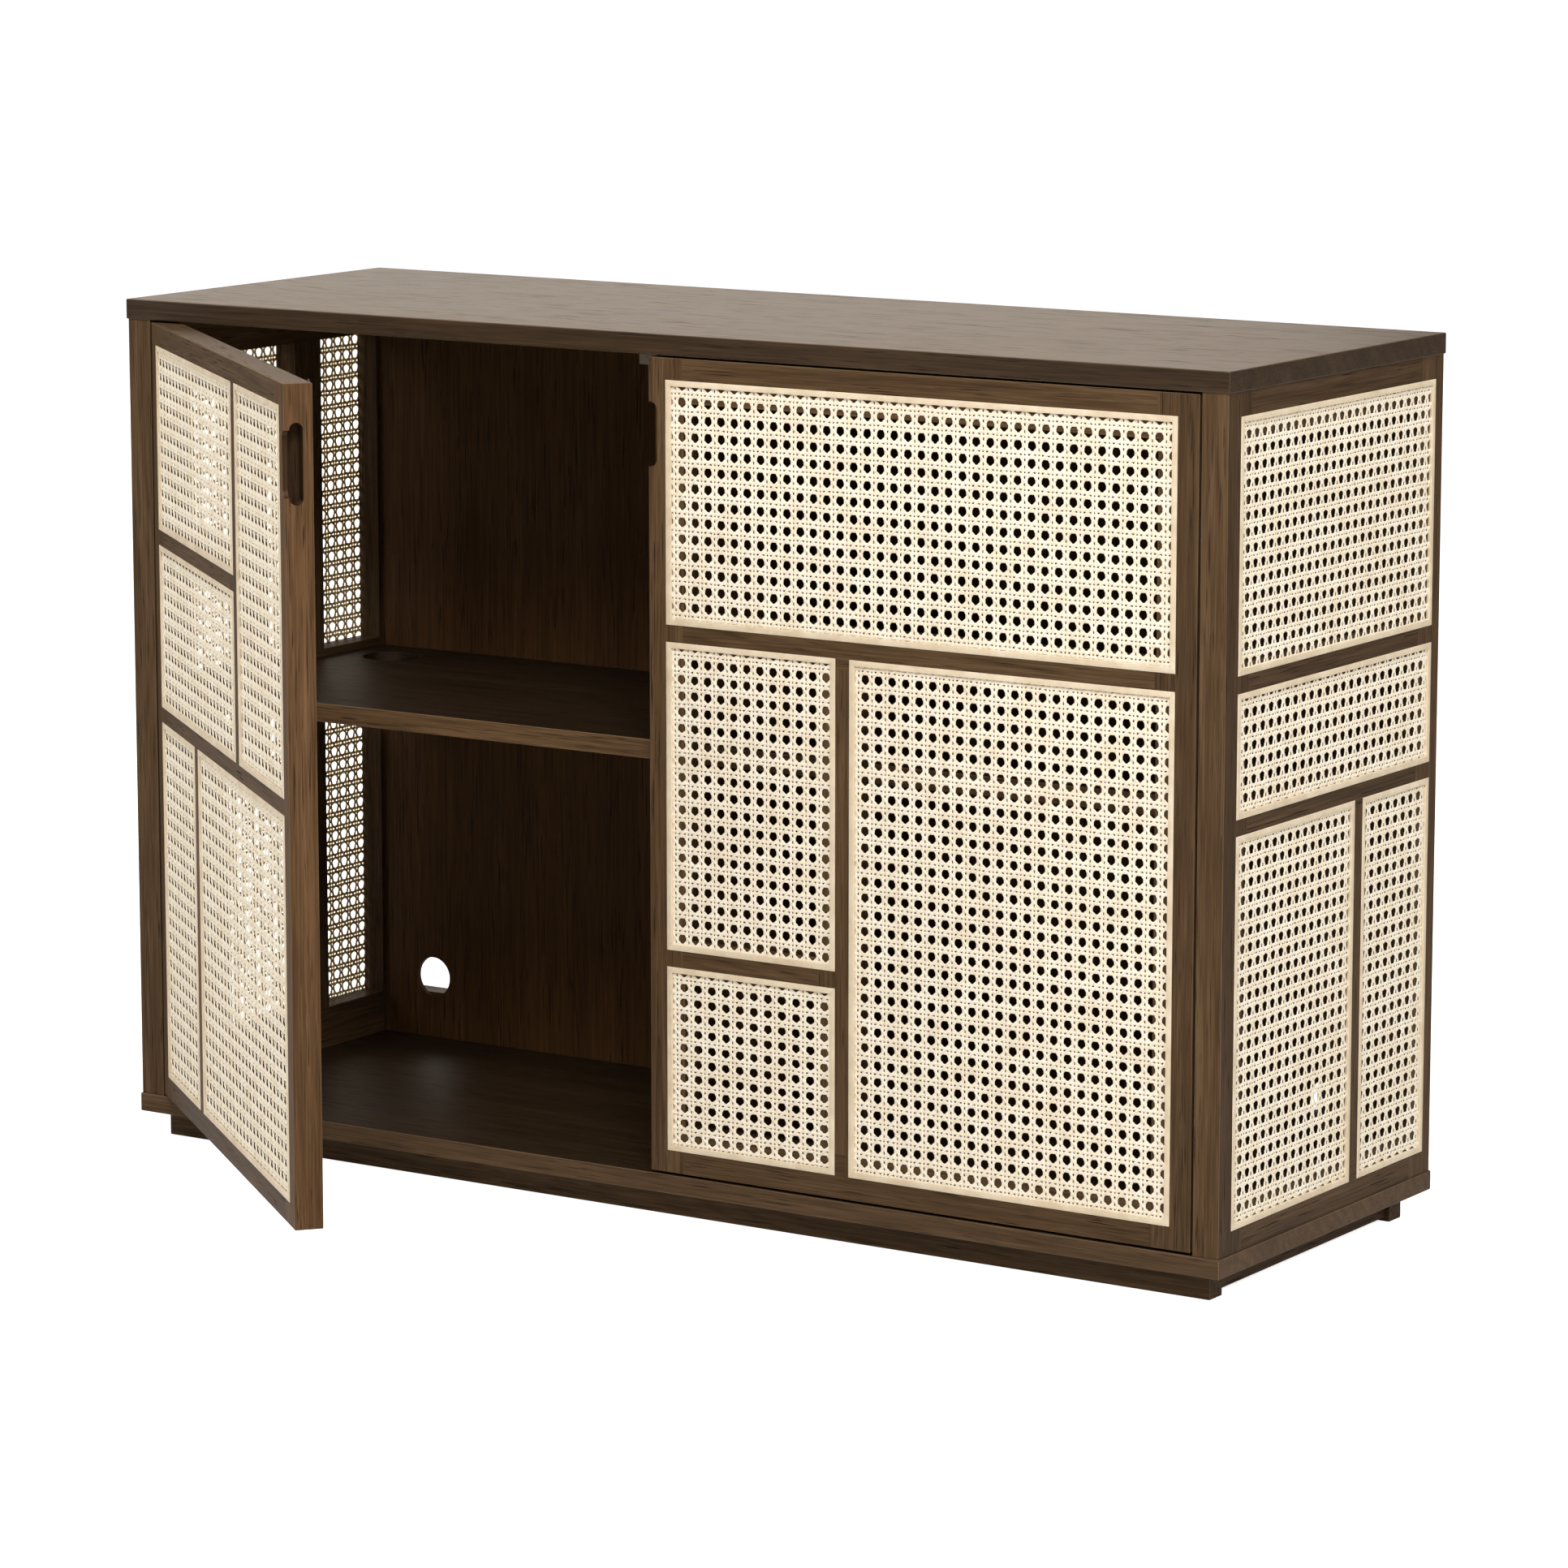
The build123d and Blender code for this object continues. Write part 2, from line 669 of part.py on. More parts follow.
# ---------------------------------------------------------------- hinges
# A closed hinge's links stand evenly about the direction straight back from the pivot.
STRAIGHT_BACK = 90.0
right_pivot = Vector(PIVOT_X, PIVOT_Y, 0)
right_post_turn = (right_pivot, STRAIGHT_BACK, -SLOT_HALF_TURN)
left_post_turn = (left_pivot, STRAIGHT_BACK, SLOT_HALF_TURN)
right_door_turn = (right_pivot, STRAIGHT_BACK, SLOT_HALF_TURN)
left_door_turn = (left_pivot, STRAIGHT_BACK - LEFT_DOOR_OPEN, -SLOT_HALF_TURN)

make_cups("hinge_post_cups", (left_post_gap, right_post_gap), (left_post_turn, right_post_turn))
make_cups("left_hinge_cups", (left_door_gap,), (left_door_turn,))
make_cups("right_hinge_cups", (right_door_gap,), (right_door_turn,))
link_start = STRAIGHT_BACK - LINK_HALF_TURN
make_links("left_hinge_links", left_pivot, link_start - LEFT_DOOR_OPEN / 2)
make_links("right_hinge_links", right_pivot, link_start)
make_screws("hinge_post_screws", (left_post_gap, right_post_gap))
make_screws("left_hinge_screws", (left_door_gap,))
make_screws("right_hinge_screws", (right_door_gap,))

# ---------------------------------------------------------------- magnetic catch
catch_z = TOP_UNDER - CATCH_HEIGHT / 2
magnet_places = [(-MAGNET_X, catch_z), (MAGNET_X, catch_z)]
with BuildPart() as catch:
    with BuildSketch(Plane.XZ.offset(-CATCH_FRONT)):
        with Locations((0, catch_z)):
            Rectangle(CATCH_LENGTH, CATCH_HEIGHT)
    extrude(amount=-CATCH_DEEP)
    ends = catch.edges().filter_by(Axis.Y).group_by(Axis.Z)[0]
    fillet(ends, CATCH_EASE)
    with BuildSketch(Plane.XZ.offset(-CATCH_FRONT)):
        with Locations(magnet_places):
            Circle(MAGNET_SOCKET_R)
    extrude(amount=-MAGNET_LENGTH, mode=Mode.SUBTRACT)
    with BuildSketch(Plane.XZ.offset(-CATCH_FRONT + MAGNET_PROUD)):
        with Locations(magnet_places):
            Circle(MAGNET_R)
    extrude(amount=-MAGNET_LENGTH)
save(catch.part, "magnetic_catch")

right_strike_x = MAGNET_X - RIGHT_DOOR_X
make_strike("right_strike", right_door_plane, (right_strike_x, catch_z))
make_strike("left_strike", left_door_plane, (DOOR_WIDTH - right_strike_x, catch_z))
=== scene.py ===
"""Looks for the two-door cane sideboard.

Dark stained oak, six-way woven cane, reed splines and satin metal fittings."""

import json
import math

import bmesh
import bpy
from mathutils import Matrix, Vector


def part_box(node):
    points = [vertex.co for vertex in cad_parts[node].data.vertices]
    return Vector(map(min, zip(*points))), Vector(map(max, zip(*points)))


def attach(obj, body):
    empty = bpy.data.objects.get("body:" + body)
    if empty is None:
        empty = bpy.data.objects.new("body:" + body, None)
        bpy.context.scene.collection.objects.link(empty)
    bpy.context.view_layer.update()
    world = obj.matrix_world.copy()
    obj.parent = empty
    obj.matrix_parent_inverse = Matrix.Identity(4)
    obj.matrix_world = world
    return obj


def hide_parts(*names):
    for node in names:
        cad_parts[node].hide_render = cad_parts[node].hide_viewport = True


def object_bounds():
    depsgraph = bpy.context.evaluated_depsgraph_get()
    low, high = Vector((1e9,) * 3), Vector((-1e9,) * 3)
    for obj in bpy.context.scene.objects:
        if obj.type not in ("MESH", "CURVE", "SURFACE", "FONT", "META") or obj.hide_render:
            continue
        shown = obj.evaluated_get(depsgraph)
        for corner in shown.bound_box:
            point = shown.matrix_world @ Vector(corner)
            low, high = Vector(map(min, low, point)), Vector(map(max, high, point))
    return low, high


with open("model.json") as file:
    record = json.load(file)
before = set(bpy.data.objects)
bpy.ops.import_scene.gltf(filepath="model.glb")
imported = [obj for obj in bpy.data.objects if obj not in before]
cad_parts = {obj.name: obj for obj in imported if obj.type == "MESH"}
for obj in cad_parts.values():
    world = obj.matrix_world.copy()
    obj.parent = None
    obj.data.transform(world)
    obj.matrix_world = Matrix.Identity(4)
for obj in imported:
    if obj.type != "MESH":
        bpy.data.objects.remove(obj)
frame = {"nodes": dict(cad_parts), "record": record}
cad_low, cad_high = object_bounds()
record = frame["record"]
nodes = frame["nodes"]
joints = {joint["name"]: joint for joint in record["behaviour"]["joints"]}
MM = 0.001

# ---------------------------------------------------------------- working planes
FACE_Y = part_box("right_door_hinge_stile")[0].y
SIDE_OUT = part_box("right_front_post")[1].x
DOOR_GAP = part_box("right_door_free_stile")[0].x
LEFT_SIDE_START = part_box("left_back_post")[1].y
left_swing = joints["left_door_swing"]
# The left door stands open at rest, so its swing starts at minus that angle.
DOOR_TURN = math.radians(abs(left_swing["range_deg"][0]))
DOOR_PIVOT = Vector(left_swing["pos_m"])
PIVOT_ASIDE = 1.25 * MM  # from the pivot to the door's hinge edge
PIVOT_INWARD = 1.0 * MM  # from the pivot to the door's face


def plane(origin, along, inward):
    """A matrix from (along, up, outward) to the row frame."""
    outward = -inward
    turned = Matrix((along, Vector((0, 0, 1)), outward)).transposed().to_4x4()
    turned.translation = origin
    return turned


left_along = Vector((math.cos(DOOR_TURN), -math.sin(DOOR_TURN), 0))
left_inward = Vector((math.sin(DOOR_TURN), math.cos(DOOR_TURN), 0))
left_corner = DOOR_PIVOT + left_along * PIVOT_ASIDE + left_inward * PIVOT_INWARD
left_corner.z = 0
PLANES = {
    "right_door": plane(Vector((DOOR_GAP, FACE_Y, 0)), Vector((1, 0, 0)), Vector((0, 1, 0))),
    "left_door": plane(left_corner, left_along, left_inward),
    "right_side": plane(Vector((SIDE_OUT, FACE_Y, 0)), Vector((0, 1, 0)), Vector((-1, 0, 0))),
    "left_side": plane(Vector((-SIDE_OUT, LEFT_SIDE_START, 0)), Vector((0, -1, 0)),
                       Vector((1, 0, 0))),
}
BODIES = {"right_door": "right_door", "left_door": "left_door",
          "right_side": "case", "left_side": "case"}

# Each panel: the splines' outer edges (left, bottom, right, top), the weave's pitch across and
# up, and the middle of the first hole from the splines' inner corner, all in millimetres.
PANELS = {
    "right_door": {
        "top": ((18.5, 553.7, 547.2, 776.0), (14.08, 15.46), (11.3, 11.7)),
        "middle": ((18.5, 253.8, 200.5, 538.0), (14.12, 14.95), (10.2, 6.1)),
        "bottom": ((18.5, 66.0, 200.5, 238.2), (15.23, 14.08), (11.9, 7.6)),
        "large": ((215.2, 66.0, 547.2, 538.0), (14.08, 15.17), (10.3, 9.8)),
    },
    "left_door": {
        "top": ((20.0, 600.4, 351.5, 776.0), (14.79, 13.84), (6.3, 2.5)),
        "middle": ((20.0, 429.0, 351.5, 585.6), (14.47, 14.08), (10.2, 4.3)),
        "tall": ((366.2, 429.0, 549.5, 776.0), (14.03, 14.42), (1.2, 11.0)),
        "narrow": ((20.0, 66.0, 168.5, 414.2), (14.22, 13.84), (7.2, 11.7)),
        "large": ((183.2, 66.0, 549.5, 414.2), (14.52, 14.22), (5.8, 11.4)),
    },
    "right_side": {
        "top": ((22.0, 552.8, 381.8, 776.5), (13.98, 14.08), (11.9, 5.0)),
        "middle": ((22.0, 427.4, 381.8, 537.2), (14.73, 14.79), (13.4, 12.0)),
        "wide": ((22.0, 64.0, 239.5, 412.8), (13.98, 14.37), (11.4, 12.4)),
        "narrow": ((254.5, 64.0, 381.8, 412.8), (14.73, 14.37), (2.0, 12.9)),
    },
    "left_side": {
        "upper_narrow": ((15.5, 435.3, 145.0, 776.5), (14.2, 14.3), (9.0, 8.0)),
        "upper_wide": ((160.0, 435.3, 375.0, 776.5), (14.2, 14.3), (6.0, 8.0)),
        "lower_narrow": ((15.5, 64.0, 145.0, 420.7), (14.2, 14.3), (9.0, 9.0)),
        "lower_wide": ((160.0, 64.0, 375.0, 420.7), (14.2, 14.3), (6.0, 9.0)),
    },
}


# ---------------------------------------------------------------- modelling helpers
def deselect_all():
    if bpy.context.object and bpy.context.object.mode != "OBJECT":
        bpy.ops.object.mode_set(mode="OBJECT")
    bpy.ops.object.select_all(action="DESELECT")


def only(piece):
    deselect_all()
    piece.select_set(True)
    bpy.context.view_layer.objects.active = piece


def start_bar(name, length, width, height):
    """A bar along X with its middle at the origin, left open in edit mode."""
    deselect_all()
    bpy.ops.mesh.primitive_cube_add(size=1)
    bar = bpy.context.object
    bar.name = name
    bar.data.name = name
    bpy.ops.object.mode_set(mode="EDIT")
    bpy.ops.mesh.select_all(action="SELECT")
    bpy.ops.transform.resize(value=(length, width, height))
    return bar


def pick(piece, kind, test):
    """Selects the vertices, edges or faces of the piece in edit mode that pass the test."""
    mesh = bmesh.from_edit_mesh(piece.data)
    bpy.ops.mesh.select_mode(type=kind)
    bpy.ops.mesh.select_all(action="DESELECT")
    group = {"VERT": mesh.verts, "EDGE": mesh.edges, "FACE": mesh.faces}[kind]
    for item in group:
        if test(item):
            item.select_set(True)
    bmesh.update_edit_mesh(piece.data)


def cut(place, normal, **keep):
    bpy.ops.mesh.select_all(action="SELECT")
    bpy.ops.mesh.bisect(plane_co=place, plane_no=normal, **keep)


def copy_of(piece, name):
    made = piece.copy()
    made.data = piece.data.copy()
    made.name = name
    made.data.name = name
    bpy.context.scene.collection.objects.link(made)
    return made


def repeat(piece, count, step):
    """Repeats the piece in a row and applies the row."""
    only(piece)
    row = piece.modifiers.new("row", "ARRAY")
    row.use_relative_offset = False
    row.use_constant_offset = True
    row.constant_offset_displace = step
    row.count = count
    bpy.ops.object.modifier_apply(modifier=row.name)


def join(pieces, name):
    deselect_all()
    for piece in pieces:
        piece.select_set(True)
    bpy.context.view_layer.objects.active = pieces[0]
    bpy.ops.object.join()
    whole = bpy.context.object
    whole.name = name
    whole.data.name = name
    return whole


def remove(piece):
    data = piece.data
    bpy.data.objects.remove(piece)
    bpy.data.meshes.remove(data)


# ---------------------------------------------------------------- the cane weave
PITCH = 14.2 * MM  # the square pitch of the master cell, before each panel stretches it
STRAND_WIDE = 2.55 * MM
STRAND_APART = 1.88 * MM  # from the middle of a pair to the middle of one strand
DIAGONAL_WIDE = 2.25 * MM
STRAND_THICK = 0.42 * MM
STRAND_CROWN = 0.52  # the share of the strand's width that is flat on top
STRAND_LIFT = 0.24 * MM  # how far a strand rises or falls where it crosses its neighbour
DIAGONAL_LIFT = 0.38 * MM
DIAGONAL_DIPS = (0.22, 0.31)  # where a diagonal changes level, as shares of its run
ROW_DROP = 0.35 * MM  # the across pairs lie a little low in each cell
NEAR = 0.01 * MM  # vertices this close to a cut belong to it


def strand(name, length, width, heights):
    """A crowned strip along X from x = 0, which passes over and under at the stated places."""
    strip = start_bar(name, length, width, STRAND_THICK)
    bpy.ops.transform.translate(value=(length / 2, 0, 0))
    pick(strip, "FACE", lambda face: face.normal.z > 0.5)
    bpy.ops.transform.resize(value=(1, STRAND_CROWN, 1))
    for x, _ in heights[1:-1]:
        cut((x, 0, 0), (1, 0, 0))
    for x, z in heights:
        if z:
            pick(strip, "VERT", lambda vert: abs(vert.co.x - x) < NEAR)
            bpy.ops.transform.translate(value=(0, 0, z))
    pick(strip, "FACE", lambda face: abs(face.normal.x) > 0.8)
    bpy.ops.mesh.delete(type="ONLY_FACE")
    bpy.ops.object.mode_set(mode="OBJECT")
    return strip


def place(piece, turn, x, y):
    piece.data.transform(Matrix.Translation((x, y, 0)) @ Matrix.Rotation(turn, 4, "Z"))
    return piece


def master_cell():
    """One cell of the weave with its hole at the origin.

    It has two strands up, two across and one on each diagonal."""
    half, off = PITCH / 2, PITCH / 2 - STRAND_APART
    made = []
    for side in (-1, 1):
        low, high = side * -STRAND_LIFT, side * STRAND_LIFT
        rows = [(0, 0), (STRAND_APART, low), (half, 0), (PITCH - STRAND_APART, high), (PITCH, 0)]
        upright = strand("upright", PITCH, STRAND_WIDE, rows)
        made.append(place(upright, math.radians(90), side * off, -half))
        rows = [(0, 0), (STRAND_APART, high), (half, 0), (PITCH - STRAND_APART, low), (PITCH, 0)]
        across = strand("across", PITCH, STRAND_WIDE, rows)
        made.append(place(across, 0, -half, side * off - ROW_DROP))
    run = PITCH * math.sqrt(2)
    turn_in, turn_out = (run * share for share in DIAGONAL_DIPS)
    for sign in (-1, 1):
        low, high = -DIAGONAL_LIFT, DIAGONAL_LIFT
        rows = [(0, low), (turn_in, low), (turn_out, high),
                (run - turn_out, high), (run - turn_in, low), (run, low)]
        if sign > 0:
            rows = [(x, -z) for x, z in rows]
        slant = strand("slant", run, DIAGONAL_WIDE, rows)
        made.append(place(slant, math.radians(45) * sign, 0, -sign * half))
    return join(made, "weave_cell")


WEAVE_TUCK = 3.0 * MM  # how far the weave stops inside the splines' outer edges
SPLINE_WIDE = 5.5 * MM
WEAVE_DEEP = 1.55 * MM  # from the frame's face to the middle of the weave
WANDER = bpy.data.textures.new("strand_wander", "CLOUDS")
WANDER.noise_scale = 0.013
WANDER.noise_depth = 1
WANDER_BY = (("X", 1.15 * MM), ("Y", 1.2 * MM), ("Z", 0.3 * MM))
WANDER_STEP = Vector((0.13, -0.07, 0.05))  # moves the weave in the clouds between two directions
WELD = 0.004 * MM
STRAND_CREASE = math.radians(50)


def weave(cell, side, name, outline, pitch, first):
    """One panel of cane: cells over the whole panel, trimmed under the splines, a little uneven."""
    left, bottom, right, top = (value * MM for value in outline)
    pitch_x, pitch_z = (value * MM for value in pitch)
    start_x = left + SPLINE_WIDE + first[0] * MM
    start_z = bottom + SPLINE_WIDE + first[1] * MM
    back_x = math.ceil((start_x - left) / pitch_x)
    back_z = math.ceil((start_z - bottom) / pitch_z)
    panel = copy_of(cell, f"{side}_{name}_weave")
    panel.data.transform(Matrix.Diagonal((pitch_x / PITCH, pitch_z / PITCH, 1, 1)))
    columns = back_x + math.ceil((right - start_x) / pitch_x) + 2
    rows = back_z + math.ceil((top - start_z) / pitch_z) + 2
    repeat(panel, columns, (pitch_x, 0, 0))
    repeat(panel, rows, (0, pitch_z, 0))
    first_x = start_x - (back_x + 1) * pitch_x
    first_z = start_z - (back_z + 1) * pitch_z
    panel.data.transform(Matrix.Translation((first_x, first_z, 0)))
    bpy.ops.object.mode_set(mode="EDIT")
    bpy.ops.mesh.select_all(action="SELECT")
    bpy.ops.mesh.remove_doubles(threshold=WELD)
    cut((left + WEAVE_TUCK, 0, 0), (1, 0, 0), clear_inner=True)
    cut((right - WEAVE_TUCK, 0, 0), (1, 0, 0), clear_outer=True)
    cut((0, bottom + WEAVE_TUCK, 0), (0, 1, 0), clear_inner=True)
    cut((0, top - WEAVE_TUCK, 0), (0, 1, 0), clear_outer=True)
    bpy.ops.mesh.select_all(action="SELECT")
    bpy.ops.mesh.fill_holes(sides=0)  # holes of any length
    bpy.ops.mesh.select_all(action="SELECT")
    bpy.ops.mesh.normals_make_consistent(inside=False)
    bpy.ops.object.mode_set(mode="OBJECT")
    for axis, amount in WANDER_BY:
        uneven = panel.modifiers.new("uneven", "DISPLACE")
        uneven.texture = WANDER
        uneven.texture_coords = "LOCAL"
        uneven.direction = axis
        uneven.strength = amount
        bpy.ops.object.modifier_apply(modifier=uneven.name)
        panel.data.transform(Matrix.Translation(WANDER_STEP))
    back = -len(WANDER_BY) * WANDER_STEP - Vector((0, 0, WEAVE_DEEP))
    panel.data.transform(Matrix.Translation(back))
    bpy.ops.object.shade_smooth_by_angle(angle=STRAND_CREASE)
    panel.data.materials.clear()
    panel.data.materials.append(CANE)
    panel.data.materials.append(CANE_SHADED_BACK)
    # Faces turned inwards get the back material, whose darker colour is painted shade.
    for face in panel.data.polygons:
        face.material_index = 1 if face.normal.z < 0 else 0
    panel.data.transform(PLANES[side])
    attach(panel, BODIES[side])
    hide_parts(f"{side}_cane")


# ---------------------------------------------------------------- the reed splines
SPLINE_PROUD = 0.5 * MM
SPLINE_DEEP = 2.6 * MM
SPLINE_ROUND = 0.45 * MM
MITRE_GAP = 0.22 * MM
SPLINE_CREASE = math.radians(40)
ALONG_GRAIN = 0.1 * MM  # an edge with less rise than this runs along the strip


def spline_strip(side, length, turn, corner):
    """One mitred strip of a panel's border, its outer edge on the line from corner along turn."""
    strip = start_bar("strip", length, SPLINE_WIDE, SPLINE_DEEP + SPLINE_PROUD)
    shift = (length / 2, SPLINE_WIDE / 2, (SPLINE_PROUD - SPLINE_DEEP) / 2)
    bpy.ops.transform.translate(value=shift)
    pick(strip, "EDGE", lambda edge: all(v.co.z > 0 for v in edge.verts)
         and abs(edge.verts[0].co.y - edge.verts[1].co.y) < ALONG_GRAIN)
    bpy.ops.mesh.bevel(offset=SPLINE_ROUND, segments=3, profile=0.5, affect="EDGES")
    for x, sign in ((MITRE_GAP / 2, -1), (length - MITRE_GAP / 2, 1)):
        cut((x, 0, 0), (sign, 1, 0))
        pick(strip, "VERT", lambda vert: sign * (vert.co.x - x) + vert.co.y > NEAR)
        bpy.ops.mesh.delete(type="VERT")
        bpy.ops.mesh.select_all(action="SELECT")
        bpy.ops.mesh.fill_holes(sides=12)
    bpy.ops.mesh.select_all(action="SELECT")
    bpy.ops.mesh.normals_make_consistent(inside=False)
    bpy.ops.object.mode_set(mode="OBJECT")
    return place(strip, turn, *corner)


def splines(side):
    """All the splines of one door or side, standing for the plain strips."""
    made = []
    for outline, _, _ in PANELS[side].values():
        left, bottom, right, top = (value * MM for value in outline)
        wide, high = right - left, top - bottom
        sides = [(wide, 0, (left, bottom)), (high, 90, (right, bottom)),
                 (wide, 180, (right, top)), (high, 270, (left, top))]
        for length, turn, corner in sides:
            strip = spline_strip(side, length, math.radians(turn), corner)
            strip.data.materials.clear()
            strip.data.materials.append(SPLINE[side, turn % 180 == 0])
            made.append(strip)
    whole = join(made, f"{side}_reed_splines")
    bpy.ops.object.shade_smooth_by_angle(angle=SPLINE_CREASE)
    whole.data.transform(PLANES[side])
    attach(whole, BODIES[side])
    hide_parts(f"{side}_splines")


# ---------------------------------------------------------------- material groups
def new_group(name, inputs, outputs):
    group = bpy.data.node_groups.new(name, "ShaderNodeTree")
    for label, kind, value in inputs:
        socket = group.interface.new_socket(label, in_out="INPUT", socket_type=kind)
        if value is not None:
            socket.default_value = value
    for label, kind in outputs:
        group.interface.new_socket(label, in_out="OUTPUT", socket_type=kind)
    return group, group.nodes.new("NodeGroupInput"), group.nodes.new("NodeGroupOutput")


def node(tree, kind, links=None, **values):
    """Adds a node, sets its properties, and links or sets its inputs."""
    made = tree.nodes.new(kind)
    for key, value in values.items():
        setattr(made, key, value)
    for socket, source in (links or {}).items():
        if isinstance(source, bpy.types.NodeSocket):
            tree.links.new(source, made.inputs[socket])
        else:
            made.inputs[socket].default_value = source
    return made


def maths(tree, operation, a, b=0.0, c=None):
    links = {0: a, 1: b}
    if c is not None:
        links[2] = c
    return node(tree, "ShaderNodeMath", links, operation=operation).outputs[0]


def ranged(tree, value, low, high, to_low=0.0, to_high=1.0):
    links = {"Value": value, "From Min": low, "From Max": high, "To Min": to_low, "To Max": to_high}
    made = node(tree, "ShaderNodeMapRange", links, interpolation_type="SMOOTHSTEP")
    return made.outputs["Result"]


def noise(tree, vector, scale, detail, rough, stretch=(1, 1, 1)):
    mapped = node(tree, "ShaderNodeMapping", {"Vector": vector, "Scale": stretch}).outputs[0]
    links = {"Vector": mapped, "Scale": scale, "Detail": detail, "Roughness": rough}
    return node(tree, "ShaderNodeTexNoise", links).outputs["Fac"]


def vector_maths(tree, operation, a, b=None):
    """b is the second vector, or the number that scales the first."""
    links = {0: a}
    if b is not None:
        links["Scale" if operation == "SCALE" else 1] = b
    return node(tree, "ShaderNodeVectorMath", links, operation=operation).outputs[0]


def largest_part(tree, vector):
    parts = node(tree, "ShaderNodeSeparateXYZ", {0: vector_maths(tree, "ABSOLUTE", vector)}).outputs
    return maths(tree, "MAXIMUM", maths(tree, "MAXIMUM", parts[0], parts[1]), parts[2])


# Noise: scale, detail, roughness and, where it's drawn out, its stretch.
OAK_BROAD = (7.0, 3.0, 0.55, (0.35, 5.0, 5.0))
OAK_STREAK = (42.0, 4.0, 0.6, (0.09, 3.0, 3.0))
OAK_FINE = (260.0, 2.0, 0.6, (0.05, 2.2, 2.2))
OAK_WANDER = (3.2, 2.0, 0.5, (0.35, 1.6, 1.6))
OAK_PORES = (330.0, 1.0, 0.5, (0.07, 2.6, 2.6))
CANE_MOTTLE = (46.0, 3.0, 0.6)
CANE_FIBRE = (900.0, 2.0, 0.6)
CANE_SPECK = (210.0, 2.0, 0.5)
METAL_BRUSH = (900.0, 2.0, 0.6, (1, 1, 0.08))
METAL_SMUDGE = (60.0, 2.0, 0.5)

# Levels between which a mask goes from none to full.
PORE_LEVELS = (0.60, 0.70)
PORE_ZONE = (0.42, 0.62)  # pores lie in the streaks only
FIGURE_ZONE = (0.38, 0.62)  # the figure comes and goes over a board
ARRIS_LEVELS = (0.97, 0.86)  # the largest part of the normal on faces and on rounded edges
SPECK_LEVELS = (0.66, 0.76)

# The oak's tone is the sum of its noises, less the figure.
BROAD_SHARE = 0.24
STREAK_SHARE = 0.26
FINE_SHARE = 0.40
TONE_START = 0.05
FIGURE_SHARE = -0.12
FIGURE_MIDDLE = 0.35
LATE_PORES = 0.15
FINE_RELIEF = 0.25

RINGS_PER_METRE = 210.0
RING_SLANT = 0.83
RING_WANDER = 46.0
HALF_TURN = 3.1416
LATE_WOOD = 2.4  # how narrow the dark part of a ring is


def oak_grain_group():
    """Open-pored grain along X: its tone, its pores, a mask of the rounded arrises and its relief.
    """
    group, given, result = new_group(
        "Oak grain",
        [("Position", "NodeSocketVector", None), ("Facing", "NodeSocketVector", None),
         ("Figure", "NodeSocketFloat", 0.5), ("Figure Size", "NodeSocketFloat", 1.0)],
        [("Tone", "NodeSocketFloat"), ("Pores", "NodeSocketFloat"),
         ("Arris", "NodeSocketFloat"), ("Relief", "NodeSocketFloat")])
    place_in = given.outputs["Position"]
    broad = noise(group, place_in, *OAK_BROAD)
    streak = noise(group, place_in, *OAK_STREAK)
    fine = noise(group, place_in, *OAK_FINE)
    sized = vector_maths(group, "SCALE", place_in, given.outputs["Figure Size"])
    wander = noise(group, sized, *OAK_WANDER)
    split = node(group, "ShaderNodeSeparateXYZ", {0: sized})
    slanted = maths(group, "MULTIPLY", split.outputs["Z"], RING_SLANT)
    across = maths(group, "ADD", split.outputs["Y"], slanted)
    turns = maths(group, "MULTIPLY", across, RINGS_PER_METRE)
    phase = maths(group, "ADD", turns, maths(group, "MULTIPLY", wander, RING_WANDER))
    wave = maths(group, "SINE", maths(group, "MULTIPLY", phase, HALF_TURN))
    rings = maths(group, "MULTIPLY_ADD", wave, 0.5, 0.5)
    late = maths(group, "POWER", rings, LATE_WOOD)
    pores = ranged(group, noise(group, place_in, *OAK_PORES), *PORE_LEVELS)
    open_zone = maths(group, "ADD", streak, maths(group, "MULTIPLY", late, LATE_PORES))
    open_zone = ranged(group, open_zone, *PORE_ZONE)
    pores = maths(group, "MULTIPLY", pores, open_zone)
    soft = maths(group, "MULTIPLY_ADD", streak, STREAK_SHARE, TONE_START)
    soft = maths(group, "MULTIPLY_ADD", broad, BROAD_SHARE, soft)
    soft = maths(group, "ADD", soft, maths(group, "MULTIPLY", fine, FINE_SHARE))
    figured = maths(group, "SUBTRACT", late, FIGURE_MIDDLE)
    figured = maths(group, "MULTIPLY", figured, given.outputs["Figure"])
    figured = maths(group, "MULTIPLY", figured, ranged(group, broad, *FIGURE_ZONE))
    tone = maths(group, "ADD", soft, maths(group, "MULTIPLY", figured, FIGURE_SHARE))
    arris = ranged(group, largest_part(group, given.outputs["Facing"]), *ARRIS_LEVELS)
    relief = maths(group, "SUBTRACT", maths(group, "MULTIPLY", fine, FINE_RELIEF), pores)
    for label, value in (("Tone", tone), ("Pores", pores), ("Arris", arris), ("Relief", relief)):
        group.links.new(value, result.inputs[label])
    return group


